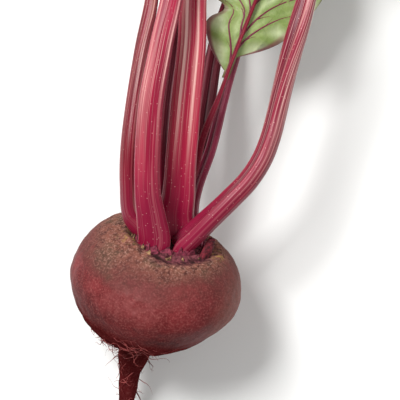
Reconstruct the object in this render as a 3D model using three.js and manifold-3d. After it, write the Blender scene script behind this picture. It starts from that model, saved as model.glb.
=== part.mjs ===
// A beetroot as picked, with its leaves, lying on its side on a surface.
// Millimetres, +Z up. The leaves point along +Y and the tap root along -Y.
// The origin is the middle of the small flat spot under the swollen root.
import * as THREE from 'three';
import { mergeVertices } from 'three/addons/utils/BufferGeometryUtils.js';
import Module from 'manifold-3d';

const wasm = await Module();
wasm.setup();

// Driving dimensions of the swollen root.
const ROOT_RADIUS = 38.5;
const CROWN_HEIGHT = 24;
const POLE_DEPTH = 29;
const CROWN_TILT = THREE.MathUtils.degToRad(22);
const CROWN_LEAN = THREE.MathUtils.degToRad(20);
const REST_DEPTH = 0.6;
const RIGHT_SIDE_RISE = 3.6;
const LOWER_SIDE_SHIFT = 3;

// Driving dimensions of the leaves.
const BLADE_THICKNESS = 0.9;
const GAP = 0.3;
const RIB_GAP = 0.7;
const EMBED = 5;
const STALK_SIDES = 12;
const STALK_STEPS = 24;
const BLADE_COLUMNS = 8;
const BLADE_ROWS = 15;

// The crown's own axes: across points right, crownAxis out of the crown and facing up at a viewer overhead.
const crownAxis = new THREE.Vector3(
  Math.sin(CROWN_LEAN) * Math.cos(CROWN_TILT),
  Math.cos(CROWN_LEAN) * Math.cos(CROWN_TILT),
  Math.sin(CROWN_TILT),
);
const across = new THREE.Vector3(Math.cos(CROWN_LEAN), -Math.sin(CROWN_LEAN), 0);
const facing = new THREE.Vector3().crossVectors(across, crownAxis);
const rootTurn = new THREE.Matrix4().makeBasis(across, crownAxis, facing);

// Each leaf grows from base, a place on the crown as [across, facing], and follows route, its stalk and midrib
// from the crown to the blade's tip. inner and bladeUp are the sides that the stalk's channel and the blade's
// upper face look to. Lengths are in millimetres, as are stalk [width, thickness] and blade [length, width].
// delay is how much later than the other the blade's right and left half start, as a share of its length, and
// wave holds the height and number of the edge's waves and where they start. bay, on one leaf, is where its left
// half draws in and by how much.
const LEAVES = [
  {
    name: '1',
    base: [-12.5, 7.5],
    route: [[-10.4, 32.9, 54], [-11.7, 46.2, 58], [-11.4, 61.7, 60], [-9, 83.9, 59], [-5.5, 106.1, 57],
      [-1.1, 128.6, 54], [0, 150, 49], [-5, 186, 39], [-17, 222, 27], [-31, 252, 14]],
    stalk: [8.5, 6],
    inner: [0.75, -0.1, -0.65],
    bladeUp: [0.3, 0, -0.95],
    blade: [112, 74],
    delay: [0.02, 0.05],
    wave: [4, 3.6, 0.4],
  },
  {
    name: '2',
    base: [-7, 11.5],
    route: [[-1, 30.8, 62], [-2.6, 41.8, 67], [-2.5, 61.5, 73], [-0.7, 83.2, 78], [3.3, 104.8, 81],
      [8.1, 126.5, 82], [12, 150, 83], [11, 170, 83], [4, 207, 79], [-8, 245, 70], [-24, 281, 56]],
    stalk: [11.5, 6.5],
    inner: [0, 0, -1],
    bladeUp: [-0.1, 0, -1],
    blade: [122, 84],
    delay: [0.04, 0],
    wave: [4.5, 3.4, 2.1],
  },
  {
    name: '3',
    base: [-9.5, -3.5],
    route: [[2.5, 35, 43.5], [3.7, 44.1, 45], [4.1, 62, 46], [5.9, 84.5, 43], [9, 107.2, 38],
      [12, 130.3, 31], [7, 150, 22], [-7, 180, 11], [-24, 211, 5], [-42, 242, 2.5]],
    stalk: [7, 5],
    inner: [0.4, 0, 0.9],
    bladeUp: [0, 0, 1],
    blade: [106, 66],
    delay: [0, 0.05],
    wave: [3, 3.8, 4],
  },
  {
    name: '4',
    base: [1, -1],
    route: [[9.5, 32.9, 48], [10.9, 41.8, 52], [12.3, 61.8, 58], [14.3, 83.8, 62], [16.5, 105.7, 65],
      [17.2, 127.7, 66], [19, 155, 66], [22, 188, 62], [27, 225, 52], [33, 265, 37], [38, 300, 20]],
    stalk: [14, 6.5],
    inner: [0, 0, 1],
    bladeUp: [0, 0, 1],
    blade: [124, 86],
    delay: [0.03, 0],
    wave: [4.5, 3.5, 1.2],
  },
  {
    name: '5',
    base: [10, -4.5],
    route: [[17, 34.2, 39], [18.9, 45, 40], [25.2, 62.9, 40], [30.6, 84.6, 38], [37, 107.4, 33],
      [44.3, 130.4, 27], [50, 148, 23], [61, 180, 18], [74, 214, 15], [87, 246, 11]],
    stalk: [5.6, 5],
    inner: [-0.7, 0, 0.7],
    bladeUp: [-0.1, 0, 1],
    blade: [108, 62],
    delay: [0.05, 0.01],
    wave: [3, 3.7, 3],
  },
  {
    name: '6',
    base: [4, -8],
    route: [[13, 37.4, 41.5], [15.5, 45, 45], [18.5, 55.3, 47.5], [21.6, 67.7, 50], [28.3, 84.1, 52],
      [32.3, 95.2, 53], [40.9, 117.6, 53], [50.2, 140.7, 47], [60.6, 165.9, 38], [71.1, 191.1, 29]],
    stalk: [3.8, 3.6],
    inner: [0, 0, -1],
    bladeUp: [-0.1, 0, -1],
    blade: [109, 54],
    delay: [0.09, 0.02],
    wave: [2.5, 3.2, 5],
    bay: [0.28, 0.5],
  },
  {
    name: '7',
    base: [4.5, 4.5],
    route: [[17, 24.5, 53], [24.2, 31.4, 56], [33, 39.8, 58], [41.5, 48.6, 58], [47.3, 57.6, 57],
      [50.9, 66.7, 57], [53.4, 75.8, 57], [55.7, 85.6, 58], [59.7, 101.9, 60.5], [66.5, 125.8, 62], [71.8, 147.6, 58],
      [82.6, 183, 44], [97, 220, 34], [112, 252, 25]],
    stalk: [12.5, 10],
    inner: [-0.75, 0.5, 0.3],
    bladeUp: [-0.25, 0, 1],
    blade: [114, 76],
    delay: [0, 0.04],
    wave: [3.5, 3.6, 0],
  },
  {
    name: '8',
    base: [-2, -12],
    route: [[12, 35, 33.5], [16, 44.1, 32], [20.3, 62.3, 30], [23.4, 85, 26], [27, 107, 21],
      [33.6, 131.3, 14.5], [39, 150, 9], [48, 184, 5], [57, 223, 3], [62, 262, 2]],
    stalk: [9, 5.5],
    inner: [0, 0, 1],
    bladeUp: [0, 0, 1],
    blade: [118, 72],
    delay: [0.04, 0],
    wave: [2.5, 3.5, 1],
  },
];

// Stumps of old leaf stalks: base on the crown as [across, facing], length, width and how far the tip leans.
const STUBS = [
  { name: 'stub_right', base: [16, 5.5], length: 10.5, width: 9, lean: 0.5 },
  { name: 'stub_under', base: [9.5, -13.5], length: 8, width: 6, lean: 2.5 },
];

// The tap root's route and its radius at each point, on from the pole of the swollen root.
const TAP_ROOT = [[-4, -11, 31.5, 9], [-8.6, -23.5, 26.2, 8.4], [-10.8, -33, 22, 6.4], [-12, -41, 18.6, 4.7],
  [-13.2, -51, 14.6, 3.7], [-15.5, -68, 9, 2.6], [-15, -86, 5, 1.7], [-10, -103, 2.6, 1], [-3, -117, 1.4, 0.5]];
const TAP_ROOT_SIDES = 10;
const TAP_ROOT_STEPS = 18;

const ROOTLET_COUNT = 8;
const ROOTLET_RADIUS = 0.5;
const ROOTLET_SEED = 11;

// A closed geometry as a solid that can be joined and cut, and the way back.
function solidOf(geometry) {
  const bare = new THREE.BufferGeometry();
  bare.setAttribute('position', geometry.getAttribute('position'));
  bare.setIndex(geometry.index);
  const merged = mergeVertices(bare, 1e-3);
  const vertProperties = merged.getAttribute('position').array;
  const triVerts = new Uint32Array(merged.index.array);
  return new wasm.Manifold(new wasm.Mesh({ numProp: 3, vertProperties, triVerts }));
}

function geometryOf(solid) {
  const mesh = solid.getMesh();
  const geometry = new THREE.BufferGeometry();
  geometry.setAttribute('position', new THREE.BufferAttribute(mesh.vertProperties, 3));
  geometry.setIndex(new THREE.BufferAttribute(mesh.triVerts, 1));
  geometry.computeVertexNormals();
  return geometry;
}

// Cutting one crowded stalk by its neighbours can leave a loose scrap, which is dropped.
function largestBody(solid) {
  return solid.decompose().reduce((best, body) => (body.volume() > best.volume() ? body : best));
}

function moveVertices(geometry, place) {
  const position = geometry.getAttribute('position');
  const point = new THREE.Vector3();
  for (let i = 0; i < position.count; i += 1) {
    point.fromBufferAttribute(position, i);
    const moved = place(point);
    position.setXYZ(i, moved.x, moved.y, moved.z);
  }
  return geometry;
}

// A closed cylinder bent so that place(along, angle, share) sets each vertex: along runs from 0 to 1, and share
// is 1 on the wall and 0 in the middle of an end.
function bentTube(sides, steps, place) {
  const cylinder = new THREE.CylinderGeometry(1, 1, 1, sides, steps);
  return moveVertices(cylinder, (p) => place(0.5 - p.y, Math.atan2(p.z, p.x), Math.min(1, Math.hypot(p.x, p.z))));
}

// The same random draws every time, from 0 to 1.
function seededRandom(seed) {
  let state = seed;
  return () => {
    state = (state * 16807) % 2147483647;
    return state / 2147483647;
  };
}

function smoothStep(from, to, value) {
  return THREE.MathUtils.smoothstep(value, from, to);
}

// The swollen root turned about its own axis, then swollen and dented a little by a formula.
function swollenRoot(grow) {
  const profile = new THREE.SplineCurve([
    new THREE.Vector2(0, -POLE_DEPTH),
    new THREE.Vector2(10, -POLE_DEPTH + 1.2),
    new THREE.Vector2(21, -25),
    new THREE.Vector2(31.5, -16.5),
    new THREE.Vector2(ROOT_RADIUS - 0.6, -4.5),
    new THREE.Vector2(ROOT_RADIUS - 0.8, 6),
    new THREE.Vector2(33.5, 15.5),
    new THREE.Vector2(26, 21.8),
    new THREE.Vector2(18, CROWN_HEIGHT),
    new THREE.Vector2(9, CROWN_HEIGHT + 0.6),
    new THREE.Vector2(0, CROWN_HEIGHT + 0.8),
  ]);
  const points = profile.getPoints(25);
  points[0].x = 0;
  points[points.length - 1].x = 0;
  const lathe = new THREE.LatheGeometry(points, 36);
  moveVertices(lathe, (p) => {
    const angle = Math.atan2(p.z, p.x);
    const radius = Math.hypot(p.x, p.z);
    const share = radius / ROOT_RADIUS;
    const lobes = 0.7 * Math.sin(2 * angle + 0.6) + 0.45 * Math.sin(3 * angle - 1.1);
    const stretch = 1 + ((lobes * share + grow) / ROOT_RADIUS);
    const shoulder = shoulderLift(p.x, p.z) * smoothStep(2, 18, p.y);
    const rise = RIGHT_SIDE_RISE * smoothStep(-4, 34, p.x);
    const shift = -LOWER_SIDE_SHIFT * (1 - smoothStep(-14, 6, p.y)) * smoothStep(-40, 16, p.x);
    const lift = shoulder + rise + (p.y > 0 ? grow : -grow);
    return new THREE.Vector3(p.x * stretch + shift, p.y + lift, p.z * stretch).applyMatrix4(rootTurn);
  });
  return lathe;
}

// The left shoulder stands higher than the crown's rim, as on many roots that grew against a stone.
function shoulderLift(x, z) {
  const height = 3.4;
  const reach = 10;
  return height * Math.exp(-((x + 24) ** 2 + (z + 7) ** 2) / (2 * reach ** 2));
}

const plainRoot = swollenRoot(0);
plainRoot.computeBoundingBox();
const CENTRE_HEIGHT = -plainRoot.boundingBox.min.z - REST_DEPTH;
const rootCentre = new THREE.Vector3(0, 0, CENTRE_HEIGHT);

function onCrown([x, z], height) {
  return new THREE.Vector3(x, height, z).applyMatrix4(rootTurn).add(rootCentre);
}

// The tap root thins along its route and is a little knotty.
function tapRoot() {
  const route = new THREE.CatmullRomCurve3(TAP_ROOT.map(([x, y, z]) => new THREE.Vector3(x, y, z)));
  const radii = new THREE.SplineCurve(TAP_ROOT.map((row, i) => new THREE.Vector2(i, row[3])));
  return bentTube(TAP_ROOT_SIDES, TAP_ROOT_STEPS, (along, angle, share) => {
    const centre = route.getPoint(along);
    const tangent = route.getTangent(along);
    const side = new THREE.Vector3(0, 0, 1).cross(tangent).normalize();
    const up = new THREE.Vector3().crossVectors(tangent, side);
    const knots = 1 + 0.07 * Math.sin(3 * angle + 9 * along) + 0.05 * Math.sin(31 * along);
    const radius = Math.max(0.4, radii.getPoint(along).y * knots * share);
    const out = share > 0 ? radius : 0;
    return centre.addScaledVector(side, out * Math.cos(angle)).addScaledVector(up, out * Math.sin(angle));
  });
}

// Short side rootlets stand out of the tap root and of the swollen root around it.
function rootlet(start, direction, length, bend) {
  const stiffSides = 5;
  const steps = 5;
  const sunk = 1.6;
  const side = new THREE.Vector3().crossVectors(direction, bend).normalize();
  const up = new THREE.Vector3().crossVectors(direction, side);
  return bentTube(stiffSides, steps, (along, angle, share) => {
    const radius = share * ROOTLET_RADIUS * (1.25 - along);
    return start.clone()
      .addScaledVector(direction, along * (length + sunk) - sunk)
      .addScaledVector(bend, along * along * length * 0.5)
      .addScaledVector(side, radius * Math.cos(angle))
      .addScaledVector(up, radius * Math.sin(angle));
  });
}

function rootlets() {
  const random = seededRandom(ROOTLET_SEED);
  const route = new THREE.CatmullRomCurve3(TAP_ROOT.map(([x, y, z]) => new THREE.Vector3(x, y, z)));
  const radii = new THREE.SplineCurve(TAP_ROOT.map((row, i) => new THREE.Vector2(i, row[3])));
  const found = [];
  for (let i = 0; i < ROOTLET_COUNT; i += 1) {
    const along = 0.42 + 0.45 * (i / ROOTLET_COUNT) + 0.03 * random();
    const turn = Math.PI * (i % 2) + (random() - 0.5) * 1.6;
    const tangent = route.getTangent(along);
    const side = new THREE.Vector3(0, 0, 1).cross(tangent).normalize();
    const up = new THREE.Vector3().crossVectors(tangent, side);
    const out = side.clone().multiplyScalar(Math.cos(turn)).addScaledVector(up, 0.7 * Math.abs(Math.sin(turn)));
    out.addScaledVector(tangent, 0.9).normalize();
    const start = route.getPoint(along).addScaledVector(out, radii.getPoint(along).y * 0.85);
    const length = 4 + 6 * random();
    found.push(rootlet(start, out, length, tangent));
  }
  return found;
}

// Where a leaf's stalk and midrib run, and which way they face, at a share of the length from crown to tip.
function leafSpine(leaf) {
  const points = [
    onCrown(leaf.base, CROWN_HEIGHT - EMBED),
    onCrown(leaf.base.map((place) => place * 1.04), CROWN_HEIGHT + 2.5),
    ...leaf.route.map((point) => new THREE.Vector3(...point)),
  ];
  const curve = new THREE.CatmullRomCurve3(points, false, 'centripetal');
  const [bladeLength] = leaf.blade;
  const bladeStart = 1 - bladeLength / curve.getLength();
  const inner = new THREE.Vector3(...leaf.inner).normalize();
  const bladeUp = new THREE.Vector3(...leaf.bladeUp).normalize();
  const at = (along) => {
    const tangent = curve.getTangentAt(along);
    const turned = smoothStep(bladeStart * 0.45, bladeStart, along);
    const wanted = inner.clone().lerp(bladeUp, turned);
    const side = new THREE.Vector3().crossVectors(wanted, tangent).normalize();
    const normal = new THREE.Vector3().crossVectors(tangent, side);
    const centre = curve.getPointAt(along);
    centre.z = Math.max(centre.z, stalkSize(leaf, bladeStart, along).thickness / 2);
    return { centre, tangent, side, normal };
  };
  return { at, bladeStart };
}

// The stalk clasps the crown with a wide foot, is even along its length, and thins to a midrib in the blade.
function stalkSize(leaf, bladeStart, along) {
  const [width, thickness] = leaf.stalk;
  const foot = 1 - smoothStep(0, 0.13, along);
  const thinning = 1 - 0.22 * smoothStep(0.1, bladeStart, along);
  const rib = smoothStep(bladeStart * 0.9, 1, along) ** 0.7;
  const ribWidth = 1.3;
  const neck = 1 - 0.45 * smoothStep(bladeStart * 0.75, bladeStart * 1.05, along);
  return {
    width: THREE.MathUtils.lerp(width * (thinning * neck + 0.3 * foot), ribWidth, rib),
    thickness: THREE.MathUtils.lerp(thickness * (thinning + 0.08 * foot), ribWidth, rib),
    channel: 0.24 * (1 - smoothStep(bladeStart * 0.8, bladeStart, along)),
  };
}

// A stalk's section is round on its outer side and has a channel along its inner side.
function stalk(leaf, grow) {
  const { at, bladeStart } = leafSpine(leaf);
  return bentTube(STALK_SIDES, STALK_STEPS, (step, angle, share) => {
    const along = step ** 1.2;
    const { centre, side, normal } = at(along);
    const size = stalkSize(leaf, bladeStart, along);
    const x = (size.width / 2 + grow) * Math.cos(angle);
    const inside = Math.max(0, Math.sin(angle));
    const spread = (x / (0.24 * size.width)) ** 2;
    const channel = size.channel * size.thickness * inside * Math.exp(-spread);
    const y = (size.thickness / 2 + grow) * Math.sin(angle) - channel;
    return centre.addScaledVector(side, x * share).addScaledVector(normal, y * share);
  });
}

// Half of the blade's width at a share of its length: widest below the middle, with a wedge at the stalk.
function bladeHalfWidth(leaf, share, reach) {
  const [, width] = leaf.blade;
  const leastHalf = 1.6;
  const delay = leaf.delay[reach > 0 ? 0 : 1];
  const own = THREE.MathUtils.clamp((share - delay) / (1 - delay), 0, 1);
  const outline = Math.max(0, Math.sin(Math.PI * own ** 0.8)) ** 1.1;
  const lobes = 1 + 0.06 * Math.sin(17 * share + leaf.wave[2] + (reach > 0 ? 0 : 2.3));
  const [bayPlace, bayDepth] = leaf.bay ?? [0, 0];
  const drawnIn = reach > 0 ? 1 : 1 - bayDepth * Math.exp(-(((share - bayPlace) / 0.055) ** 2));
  return Math.max(leastHalf, (width / 2) * outline * lobes * drawnIn);
}

// A point of the blade's middle surface. reach runs from -1 at one edge to 1 at the other.
function bladePoint(leaf, spine, share, reach) {
  const along = spine.bladeStart + (1 - spine.bladeStart) * share;
  const { centre, tangent, side, normal } = spine.at(along);
  const half = bladeHalfWidth(leaf, share, reach);
  const x = reach * half;
  const [waveHeight, waveCount, wavePhase] = leaf.wave;
  const edge = Math.abs(reach) ** 1.8 * smoothStep(0, 0.2, share);
  const phase = 2 * Math.PI * waveCount * share + wavePhase + (reach > 0 ? 0 : 1.9);
  const wave = waveHeight * edge * Math.sin(phase);
  const sag = -Math.sign(normal.z) * 0.16 * Math.abs(x) * Math.abs(reach) * smoothStep(3, 15, half);
  const rib = stalkSize(leaf, spine.bladeStart, along).thickness / 2;
  const lift = rib + RIB_GAP + BLADE_THICKNESS / 2 + wave + sag;
  const point = centre.addScaledVector(side, x).addScaledVector(normal, lift);
  point.addScaledVector(tangent, -0.08 * Math.abs(x) * (1 - share));
  point.z = Math.max(point.z, BLADE_THICKNESS / 2);
  return { point, normal };
}

// Both faces of a thin blade, from one grid so that their triangles match, and the rim that joins them.
function blade(leaf) {
  const spine = leafSpine(leaf);
  const grid = new THREE.PlaneGeometry(2, 1, BLADE_COLUMNS, BLADE_ROWS);
  const uv = grid.getAttribute('uv');
  const upper = [];
  const lower = [];
  for (let i = 0; i < uv.count; i += 1) {
    const { point, normal } = bladePoint(leaf, spine, uv.getY(i), 1 - 2 * uv.getX(i));
    upper.push(...point.clone().addScaledVector(normal, BLADE_THICKNESS / 2));
    lower.push(...point.clone().addScaledVector(normal, -BLADE_THICKNESS / 2));
  }
  const count = uv.count;
  const faces = Array.from(grid.index.array);
  const index = [...faces];
  for (let i = 0; i < faces.length; i += 3) {
    index.push(faces[i + 2] + count, faces[i + 1] + count, faces[i] + count);
  }
  const rim = rimOf(BLADE_COLUMNS, BLADE_ROWS);
  rim.forEach((from, i) => {
    const to = rim[(i + 1) % rim.length];
    index.push(from, from + count, to, to, from + count, to + count);
  });
  const sheet = new THREE.BufferGeometry();
  sheet.setAttribute('position', new THREE.BufferAttribute(new Float32Array([...upper, ...lower]), 3));
  sheet.setIndex(index);
  return sheet;
}

// The grid's outer vertices in order, anticlockwise seen from the upper face.
function rimOf(columns, rows) {
  const at = (column, row) => row * (columns + 1) + column;
  const steps = (count) => Array.from({ length: count }, (_, i) => i);
  return [
    ...steps(rows).map((row) => at(0, row)),
    ...steps(columns).map((column) => at(column, rows)),
    ...steps(rows).map((row) => at(columns, rows - row)),
    ...steps(columns).map((column) => at(columns - column, 0)),
  ];
}

// A stump narrows unevenly from a flat foot and leans out.
function stub({ base, length, width, lean }, grow) {
  const sides = 9;
  const steps = 6;
  const bottom = onCrown(base, CROWN_HEIGHT - EMBED);
  const out = new THREE.Vector3(base[0], 0, base[1]).normalize().applyMatrix4(rootTurn);
  const beside = new THREE.Vector3().crossVectors(out, crownAxis);
  return bentTube(sides, steps, (along, angle, share) => {
    const taper = 1 - 0.55 * along + 0.12 * Math.sin(2 * angle + 5 * along);
    const half = (width / 2) * taper + grow;
    return bottom.clone()
      .addScaledVector(crownAxis, along * (length + EMBED))
      .addScaledVector(out, lean * along * along + share * 0.6 * half * Math.sin(angle))
      .addScaledVector(beside, share * half * Math.cos(angle));
  });
}

function material(color, roughness) {
  return new THREE.MeshStandardMaterial({ color, roughness, metalness: 0 });
}

const skin = material('#74302f', 0.6);
const stalkRed = material('#a32a4b', 0.42);
const bladeGreen = material('#5f7f35', 0.5);
const driedStump = material('#4f231f', 0.85);

function piece(name, solid, surface) {
  const mesh = new THREE.Mesh(geometryOf(solid), surface);
  mesh.name = name;
  return mesh;
}

// The flat spot: what would reach below the surface is cut off.
function belowTheSurface() {
  const size = 200;
  const slab = new THREE.BoxGeometry(size, size, size);
  slab.translate(0, 0, -size / 2);
  return solidOf(slab);
}

const placedRoot = (grow) => swollenRoot(grow).translate(0, 0, CENTRE_HEIGHT);
const rootSolid = [tapRoot(), ...rootlets()]
  .reduce((joined, extra) => joined.add(solidOf(extra)), solidOf(placedRoot(0)))
  .subtract(belowTheSurface());
const rootClearance = solidOf(placedRoot(GAP));

const plant = new THREE.Group();
plant.add(piece('root', largestBody(rootSolid), skin));

// Crowded feet are cut back in turn, so each stalk keeps a gap to the root and to the stalks before it.
const taken = [];
function fit(shape) {
  const clear = taken.reduce((left, other) => left.subtract(other), solidOf(shape(0)).subtract(rootClearance));
  taken.push(solidOf(shape(GAP)));
  return largestBody(clear);
}

for (const leaf of LEAVES) {
  plant.add(piece(`petiole_${leaf.name}`, fit((grow) => stalk(leaf, grow)), stalkRed));
}
for (const one of STUBS) {
  plant.add(piece(one.name, fit((grow) => stub(one, grow)), driedStump));
}
for (const leaf of LEAVES) {
  plant.add(piece(`blade_${leaf.name}`, solidOf(blade(leaf)), bladeGreen));
}

// The flat spot's middle becomes the origin.
function middleOfFlatSpot(geometry) {
  const position = geometry.getAttribute('position');
  const point = new THREE.Vector3();
  const spot = new THREE.Box3();
  for (let i = 0; i < position.count; i += 1) {
    point.fromBufferAttribute(position, i);
    if (point.z < 1e-3 && Math.abs(point.y) < ROOT_RADIUS) spot.expandByPoint(point);
  }
  return spot.getCenter(new THREE.Vector3());
}

plant.position.copy(middleOfFlatSpot(plant.getObjectByName('root').geometry)).negate().setZ(0);

export default plant;
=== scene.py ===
# A beetroot as picked, with its leaves, lying on its side on a pale surface.
# Named lengths are millimetres in the plant's own drawing, whose origin lies a little off the rest spot.
import math

import bmesh
import bpy
import numpy as np
from bpy.props import FloatProperty, FloatVectorProperty, IntProperty, PointerProperty
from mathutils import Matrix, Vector, noise


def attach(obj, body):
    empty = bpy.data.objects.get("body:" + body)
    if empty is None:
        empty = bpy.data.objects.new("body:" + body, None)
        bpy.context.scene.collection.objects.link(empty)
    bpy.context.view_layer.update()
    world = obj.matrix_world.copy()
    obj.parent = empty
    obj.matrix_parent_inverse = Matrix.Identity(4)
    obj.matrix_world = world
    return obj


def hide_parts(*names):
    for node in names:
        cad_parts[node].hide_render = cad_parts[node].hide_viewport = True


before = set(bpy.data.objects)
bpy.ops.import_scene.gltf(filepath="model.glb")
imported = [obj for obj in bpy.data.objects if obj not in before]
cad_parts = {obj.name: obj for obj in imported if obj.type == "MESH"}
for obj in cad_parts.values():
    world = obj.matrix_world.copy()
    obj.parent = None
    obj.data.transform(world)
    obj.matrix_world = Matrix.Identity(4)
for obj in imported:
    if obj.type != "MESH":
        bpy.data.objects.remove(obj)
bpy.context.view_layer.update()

bl_info = {
    "name": "Beetroot with leaves",
    "version": (1, 0, 0),
    "blender": (4, 5, 0),
    "location": "View3D > Sidebar > Beetroot",
    "description": "Builds a fresh beetroot with its tap root, leaf stalks and leaves",
    "category": "Add Mesh",
}

MM = 0.001
BODY = "root"

# Where the middle of the rest spot lies in the plant's drawing.
REST_SPOT = (0.0199, 6.5459, 0.0)

# The swollen root.
ROOT_RADIUS = 38.5
CROWN_HEIGHT = 24.0
POLE_DEPTH = 29.0
CROWN_TILT = math.radians(22)
CROWN_LEAN = math.radians(20)
REST_DEPTH = 0.6
RIGHT_SIDE_RISE = 3.6
LOWER_SIDE_SHIFT = 3.0
PROFILE = [(0, -POLE_DEPTH), (10, -POLE_DEPTH + 1.2), (21, -25), (31.5, -16.5), (ROOT_RADIUS - 0.6, -4.5),
           (ROOT_RADIUS - 0.8, 6), (33.5, 15.5), (26, 21.8), (18, CROWN_HEIGHT), (9, CROWN_HEIGHT + 0.6),
           (0, CROWN_HEIGHT + 0.8)]

# The tap root's route, with its radius at each point.
TAP_ROOT = [(-4, -11, 31.5, 9), (-8.6, -23.5, 26.2, 8.4), (-10.8, -33, 22, 6.4), (-12, -41, 18.6, 4.7),
            (-13.2, -51, 14.6, 3.7), (-15.5, -68, 9, 2.6), (-15, -86, 5, 1.7), (-10, -103, 2.6, 1),
            (-3, -117, 1.4, 0.5)]
ROOTLET_COUNT = 8
ROOTLET_RADIUS = 0.5
ROOTLET_SEED = 11

# The leaves: base on the crown as (across, facing), route of the stalk and midrib, stalk (width, thickness),
# the sides that the stalk's channel and the blade's upper face look to, blade (length, width), and its waves
# as (height, count, phase). delay is how much later each of the blade's two halves starts. bay, on one leaf,
# is where its second half draws in, and by how much.
EMBED = 5.0
BLADE_THICKNESS = 0.9
RIB_GAP = 0.7
LEAVES = {
    "1": {
        "base": (-12.5, 7.5), "stalk": (8.5, 6), "blade": (112, 74), "delay": (0.02, 0.05),
        "wave": (4, 3.6, 0.4), "inner": (0.75, -0.1, -0.65), "blade_up": (0.3, 0, -0.95), "tone": "crimson",
        "route": [(-10.4, 32.9, 54), (-11.7, 46.2, 58), (-11.4, 61.7, 60), (-9, 83.9, 59), (-5.5, 106.1, 57),
                  (-1.1, 128.6, 54), (0, 150, 49), (-5, 186, 39), (-17, 222, 27), (-31, 252, 14)],
    },
    "2": {
        "base": (-7, 11.5), "stalk": (11.5, 6.5), "blade": (122, 84), "delay": (0.04, 0),
        "wave": (4.5, 3.4, 2.1), "inner": (0, 0, -1), "blade_up": (-0.1, 0, -1), "tone": "rosy",
        "route": [(-1, 30.8, 62), (-2.6, 41.8, 67), (-2.5, 61.5, 73), (-0.7, 83.2, 78), (3.3, 104.8, 81),
                  (8.1, 126.5, 82), (12, 150, 83), (11, 170, 83), (4, 207, 79), (-8, 245, 70),
                  (-24, 281, 56)],
    },
    "3": {
        "base": (-9.5, -3.5), "stalk": (7, 5), "blade": (106, 66), "delay": (0, 0.05),
        "wave": (3, 3.8, 4), "inner": (0.4, 0, 0.9), "blade_up": (0, 0, 1), "tone": "dark",
        "route": [(2.5, 35, 43.5), (3.7, 44.1, 45), (4.1, 62, 46), (5.9, 84.5, 43), (9, 107.2, 38),
                  (12, 130.3, 31), (7, 150, 22), (-7, 180, 11), (-24, 211, 5), (-42, 242, 2.5)],
    },
    "4": {
        "base": (1, -1), "stalk": (14, 6.5), "blade": (124, 86), "delay": (0.03, 0),
        "wave": (4.5, 3.5, 1.2), "inner": (0, 0, 1), "blade_up": (0, 0, 1), "tone": "channel",
        "route": [(9.5, 32.9, 48), (10.9, 41.8, 52), (12.3, 61.8, 58), (14.3, 83.8, 62), (16.5, 105.7, 65),
                  (17.2, 127.7, 66), (19, 155, 66), (22, 188, 62), (27, 225, 52), (33, 265, 37),
                  (38, 300, 20)],
    },
    "5": {
        "base": (10, -4.5), "stalk": (5.6, 5), "blade": (108, 62), "delay": (0.05, 0.01),
        "wave": (3, 3.7, 3), "inner": (-0.7, 0, 0.7), "blade_up": (-0.1, 0, 1), "tone": "purple",
        "route": [(17, 34.2, 39), (18.9, 45, 40), (25.2, 62.9, 40), (30.6, 84.6, 38), (37, 107.4, 33),
                  (44.3, 130.4, 27), (50, 148, 23), (61, 180, 18), (74, 214, 15), (87, 246, 11)],
    },
    "6": {
        "base": (4, -8), "stalk": (3.8, 3.6), "blade": (109, 54), "delay": (0.09, 0.02),
        "wave": (2.5, 3.2, 5), "bay": (0.28, 0.5), "inner": (0, 0, -1), "blade_up": (-0.1, 0, -1),
        "tone": "deep",
        "route": [(13, 37.4, 41.5), (15.5, 45, 45), (18.5, 55.3, 47.5), (21.6, 67.7, 50), (28.3, 84.1, 52),
                  (32.3, 95.2, 53), (40.9, 117.6, 53), (50.2, 140.7, 47), (60.6, 165.9, 38),
                  (71.1, 191.1, 29)],
    },
    "7": {
        "base": (4.5, 4.5), "stalk": (12.5, 10), "blade": (114, 76), "delay": (0, 0.04),
        "wave": (3.5, 3.6, 0), "inner": (-0.75, 0.5, 0.3), "blade_up": (-0.25, 0, 1), "tone": "pale",
        "route": [(17, 24.5, 53), (24.2, 31.4, 56), (33, 39.8, 58), (41.5, 48.6, 58), (47.3, 57.6, 57),
                  (50.9, 66.7, 57), (53.4, 75.8, 57), (55.7, 85.6, 58), (59.7, 101.9, 60.5),
                  (66.5, 125.8, 62), (71.8, 147.6, 58), (82.6, 183, 44), (97, 220, 34), (112, 252, 25)],
    },
    "8": {
        "base": (-2, -12), "stalk": (9, 5.5), "blade": (118, 72), "delay": (0.04, 0),
        "wave": (2.5, 3.5, 1), "inner": (0, 0, 1), "blade_up": (0, 0, 1), "tone": "dark",
        "route": [(12, 35, 33.5), (16, 44.1, 32), (20.3, 62.3, 30), (23.4, 85, 26), (27, 107, 21),
                  (33.6, 131.3, 14.5), (39, 150, 9), (48, 184, 5), (57, 223, 3), (62, 262, 2)],
    },
}

# Stumps of old stalks: base on the crown, length, width and how far the tip leans.
STUBS = {
    "stub_right": {"base": (16, 5.5), "length": 10.5, "width": 9, "lean": 0.5},
    "stub_under": {"base": (9.5, -13.5), "length": 8, "width": 6, "lean": 2.5},
}

crown_axis = np.array([
    math.sin(CROWN_LEAN) * math.cos(CROWN_TILT),
    math.cos(CROWN_LEAN) * math.cos(CROWN_TILT),
    math.sin(CROWN_TILT),
])
across = np.array([math.cos(CROWN_LEAN), -math.sin(CROWN_LEAN), 0.0])
facing = np.cross(across, crown_axis)


def smooth(start, end, value):
    """A share that eases from 0 at start to 1 at end."""
    share = np.clip((np.asarray(value, float) - start) / (end - start), 0, 1)
    return share * share * (3 - 2 * share)


def unit(vectors):
    """The same directions at length 1."""
    return vectors / np.maximum(np.linalg.norm(vectors, axis=-1, keepdims=True), 1e-9)


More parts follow.
